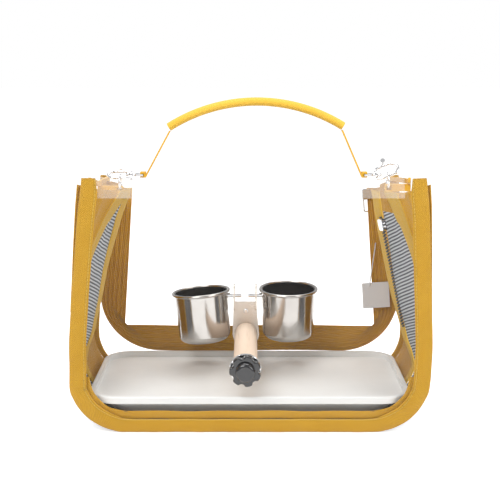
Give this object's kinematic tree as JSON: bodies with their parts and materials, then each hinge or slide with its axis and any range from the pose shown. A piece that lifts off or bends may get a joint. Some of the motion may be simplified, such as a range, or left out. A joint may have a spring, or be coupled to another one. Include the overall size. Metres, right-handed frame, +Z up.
{
  "type": "bird travel carrier",
  "caption": "Soft clear-sided carrier for a small bird, with a lift-out tray, a wooden perch with feeding cups, zipped openings and a clip-on padded handle.",
  "frame": {"origin": "on the ground under the middle of the bag, halfway between its front and back faces", "axes": "+X to the right and +Y away as seen from the front, +Z up"},
  "size_m": [0.3514, 0.1917, 0.3203],
  "materials": {
    "yellow_cloth": "woven, stitched edges",
    "clear_film": "clear, glossy",
    "grey_mesh": "open ribbed mesh",
    "white_plastic": "satin moulded",
    "perch_wood": "sanded, bare",
    "black_plastic": "glossy moulded",
    "zip_plastic": "moulded teeth",
    "white_label": "smooth woven tape",
    "clear_nylon": "translucent",
    "drawn_steel": "polished, smoky reflections",
    "plated_metal": "bright plate",
    "bright_steel": "satin"
  },
  "bodies": {
    "bag": {"back_film": "clear_film", "back_trim": "yellow_cloth", "bracket_rivet": "bright_steel", "care_label": "white_label", "cup_bracket": "bright_steel", "floor_pan": "grey_mesh", "front_gusset_left": "yellow_cloth", "front_gusset_right": "yellow_cloth", "front_hem": "clear_film", "front_trim": "yellow_cloth", "front_window": "clear_film", "hook_body_left": "plated_metal", "hook_body_right": "plated_metal", "label_string": "clear_nylon", "perch": "perch_wood", "perch_screw": "bright_steel", "perch_washer": "bright_steel", "rear_gusset_left": "yellow_cloth", "rear_gusset_right": "yellow_cloth", "ribbed_band": "yellow_cloth", "ring_tab_left": "yellow_cloth", "ring_tab_right": "yellow_cloth", "side_mesh_left": "grey_mesh", "side_mesh_right": "grey_mesh", "side_strap_left": "yellow_cloth", "side_strap_right": "yellow_cloth", "side_strip_left": "yellow_cloth", "side_strip_right": "yellow_cloth", "side_zip_teeth": "zip_plastic", "top_cover": "clear_film", "zip_tape_left": "yellow_cloth", "zip_tape_right": "yellow_cloth"},
    "handle": {"grip": "yellow_cloth", "handle_strap_left": "yellow_cloth", "handle_strap_right": "yellow_cloth", "swivel_eye_left": "plated_metal", "swivel_eye_right": "plated_metal"},
    "gate_left": {"hook_gate_left": "plated_metal"},
    "gate_right": {"hook_gate_right": "plated_metal"},
    "loop_left": {"ring_left": "plated_metal"},
    "loop_right": {"ring_right": "plated_metal"},
    "knob": {"star_knob": "black_plastic"},
    "feeder_left": {"cup_left": "drawn_steel", "cup_stud_left": "bright_steel"},
    "feeder_right": {"cup_right": "drawn_steel", "cup_stud_right": "bright_steel"},
    "door": {"back_door": "clear_film"},
    "side_slider": {"side_zip_slider": "plated_metal"},
    "back_slider": {"back_zip_slider": "plated_metal"},
    "back_link": {"back_pull_ring": "plated_metal"},
    "tray": {"tray": "white_plastic"}
  },
  "joints": [
    {"name": "handle_swing", "type": "hinge", "parent": "bag", "child": "handle", "pos_m": [0, 0, 0.2425], "axis": [1, 0, 0], "range_deg": [-80, 80]},
    {"name": "gate_left_press", "type": "hinge", "parent": "bag", "child": "gate_left", "pos_m": [-0.1281, 0.00562, 0.24512], "axis": [0, -0.4226, 0.9063], "range_deg": [0, 28], "stiffness_Nm_per_rad": 0.01, "springref_deg": -20.05},
    {"name": "gate_right_press", "type": "hinge", "parent": "bag", "child": "gate_right", "pos_m": [0.13434, 0.00356, 0.25021], "axis": [0.1962, 0.8192, -0.539], "range_deg": [0, 28], "stiffness_Nm_per_rad": 0.01, "springref_deg": -20.05},
    {"name": "ring_left_lean", "type": "hinge", "parent": "bag", "child": "loop_left", "pos_m": [-0.1305, -0.00562, 0.22773], "axis": [0, 1, 0], "range_deg": [-12, 12]},
    {"name": "ring_right_lean", "type": "hinge", "parent": "bag", "child": "loop_right", "pos_m": [0.14007, -0.00356, 0.22934], "axis": [0, 1, 0], "range_deg": [-12, 0]},
    {"name": "knob_spin", "type": "hinge", "parent": "bag", "child": "knob", "pos_m": [-0.004, -0.093, 0.0634], "axis": [0, 1, 0], "continuous": true},
    {"name": "cup_left_tip", "type": "hinge", "parent": "bag", "child": "feeder_left", "pos_m": [-0.0166, 0.046, 0.106], "axis": [1, 0, 0], "range_deg": [-25, 6]},
    {"name": "cup_right_tip", "type": "hinge", "parent": "bag", "child": "feeder_right", "pos_m": [0.007, 0.046, 0.106], "axis": [1, 0, 0], "range_deg": [-25, 6]},
    {"name": "back_door_fold", "type": "hinge", "parent": "bag", "child": "door", "pos_m": [0, 0.084, 0.188], "axis": [1, 0, 0], "range_deg": [0, 100]},
    {"name": "side_zip_run", "type": "slide", "parent": "bag", "child": "side_slider", "axis": [0.2175, 0, -0.9761], "range_m": [0, 0.098]},
    {"name": "back_zip_run", "type": "slide", "parent": "bag", "child": "back_slider", "axis": [0.0738, 0, -0.9973], "range_m": [0, 0.134]},
    {"name": "back_link_swing", "type": "hinge", "parent": "back_slider", "child": "back_link", "pos_m": [0.12869, 0.0894, 0.211], "axis": [0.9973, 0, 0.0738], "range_deg": [0, 75]},
    {"name": "tray_lift", "type": "slide", "parent": "bag", "child": "tray", "axis": [0, 0, 1], "range_m": [0, 0.015]}
  ]
}
